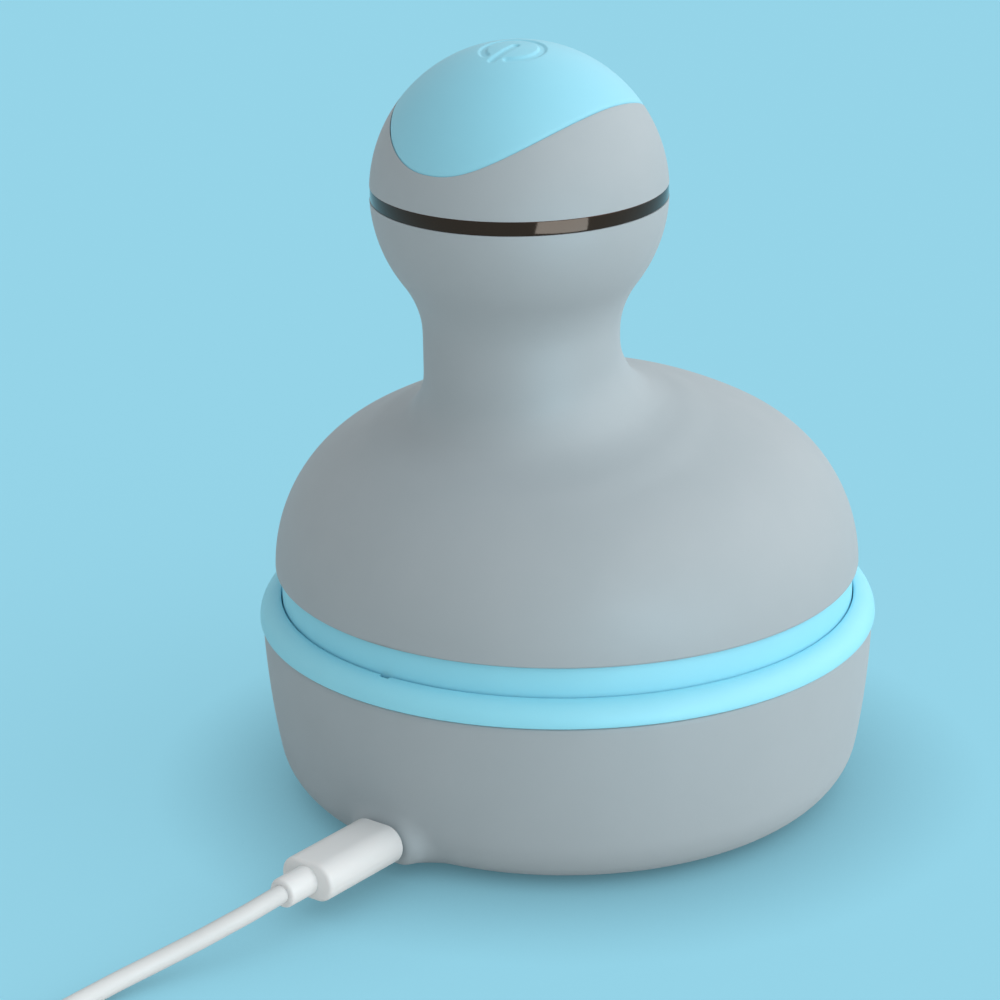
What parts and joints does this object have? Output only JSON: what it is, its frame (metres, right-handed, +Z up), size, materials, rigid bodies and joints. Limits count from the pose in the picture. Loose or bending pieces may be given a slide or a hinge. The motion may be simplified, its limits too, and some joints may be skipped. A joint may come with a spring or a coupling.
{
  "type": "electric scalp massager with charging base",
  "caption": "Handheld scalp massager: domed body with neck and round button head on a charging bowl, rotating silicone heads inside, and a plugged-in charging cable.",
  "frame": {"origin": "centre of the underside of the base, at the surface it stands on", "axes": "+Z up; -Y is the front, where the cable plugs in and towards which the handle and the button lean; +X is to the right seen from the front"},
  "size_m": [0.138, 0.2407, 0.1375],
  "materials": {
    "soft_touch_grey": "satin soft-touch coating",
    "blue_plastic": "smooth satin-gloss",
    "blue_silicone": "matte silicone",
    "dark_trim": "dark gloss",
    "white_plastic": "matte moulded",
    "black_rubber": "matte",
    "black_plastic": "matte",
    "bright_steel": "bright",
    "copper_wire": "enamelled copper winding",
    "bronze": "sintered bronze",
    "ferrite": "sintered ferrite",
    "circuit_board": "solder mask",
    "gear_plastic": "natural acetal",
    "cell_wrap": "shrink sleeve"
  },
  "bodies": {
    "base": {"base_shell": "soft_touch_grey", "base_cup": "blue_plastic", "bottom_cover": "soft_touch_grey", "base_feet": "black_rubber", "base_screws": "bright_steel", "base_board": "circuit_board", "base_chips": "black_plastic", "usb_socket": "bright_steel", "transmitter_coil": "copper_wire", "transmitter_core": "ferrite"},
    "massager": {"upper_housing": "soft_touch_grey", "chassis": "blue_plastic", "trim_ring": "dark_trim", "top_cap": "soft_touch_grey", "gearbox_cover": "white_plastic", "gearbox_screws": "bright_steel", "chassis_screws": "bright_steel", "housing_seal": "black_rubber", "shaft_bushes": "bronze", "shaft_seals": "black_rubber", "receiver_coil": "copper_wire", "countershaft": "bright_steel", "motor_can": "bright_steel", "motor_screws": "bright_steel", "battery_cell": "cell_wrap", "battery_cradle": "black_plastic", "control_board": "circuit_board", "control_chips": "black_plastic", "head_board": "circuit_board", "switch_body": "bright_steel", "button_spring": "bright_steel"},
    "power_button": {"power_button": "blue_plastic", "switch_plunger": "black_plastic"},
    "motor_drive": {"motor_shaft": "bright_steel", "motor_pinion": "gear_plastic"},
    "reduction": {"reduction_gear": "gear_plastic"},
    "massage_head_1": {"massage_head_1": "blue_silicone", "head_shaft_1": "bright_steel", "head_gear_1": "gear_plastic"},
    "massage_head_2": {"massage_head_2": "blue_silicone", "head_shaft_2": "bright_steel", "head_gear_2": "gear_plastic"},
    "massage_head_3": {"massage_head_3": "blue_silicone", "head_shaft_3": "bright_steel", "head_gear_3": "gear_plastic"},
    "massage_head_4": {"massage_head_4": "blue_silicone", "head_shaft_4": "bright_steel", "head_gear_4": "gear_plastic"},
    "charging_cable": {"plug_body": "white_plastic", "plug_tip": "bright_steel", "cable_lead": "white_plastic", "cable_coil": "white_plastic", "cable_tie": "black_plastic", "cable_tail": "white_plastic", "far_plug": "white_plastic", "far_shell": "bright_steel"}
  },
  "joints": [
    {"name": "massager_lift", "type": "slide", "parent": "base", "child": "massager", "axis": [0, 0, 1], "range_m": [0, 0.05]},
    {"name": "button_press", "type": "slide", "parent": "massager", "child": "power_button", "axis": [0, 0, -1], "range_m": [0, 0.0006], "stiffness_N_per_m": 1500, "springref_m": -0.0008, "deforming": ["button_spring"]},
    {"name": "head_1_spin", "type": "hinge", "parent": "massager", "child": "massage_head_1", "pos_m": [0.018, 0.018, 0.05], "axis": [0, 0, 1], "continuous": true},
    {"name": "head_2_spin", "type": "hinge", "parent": "massager", "child": "massage_head_2", "pos_m": [-0.018, 0.018, 0.05], "axis": [0, 0, 1], "continuous": true},
    {"name": "head_3_spin", "type": "hinge", "parent": "massager", "child": "massage_head_3", "pos_m": [-0.018, -0.018, 0.05], "axis": [0, 0, 1], "continuous": true},
    {"name": "head_4_spin", "type": "hinge", "parent": "massager", "child": "massage_head_4", "pos_m": [0.018, -0.018, 0.05], "axis": [0, 0, 1], "continuous": true},
    {"name": "reduction_spin", "type": "hinge", "parent": "massager", "child": "reduction", "pos_m": [0.00174, 0.00174, 0.05], "axis": [0, 0, 1], "continuous": true},
    {"name": "motor_spin", "type": "hinge", "parent": "massager", "child": "motor_drive", "pos_m": [0.00001, -0.01216, 0.05], "axis": [0, 0, 1], "continuous": true},
    {"name": "plug_pull", "type": "slide", "parent": "base", "child": "charging_cable", "axis": [0, -1, 0], "range_m": [0, 0.009]}
  ],
  "couplings": [
    {"joint": "head_2_spin", "follows": "head_1_spin", "ratio": -1},
    {"joint": "head_3_spin", "follows": "head_1_spin", "ratio": 1},
    {"joint": "head_4_spin", "follows": "head_1_spin", "ratio": -1},
    {"joint": "reduction_spin", "follows": "head_1_spin", "ratio": -3.6},
    {"joint": "motor_spin", "follows": "head_1_spin", "ratio": 9}
  ]
}
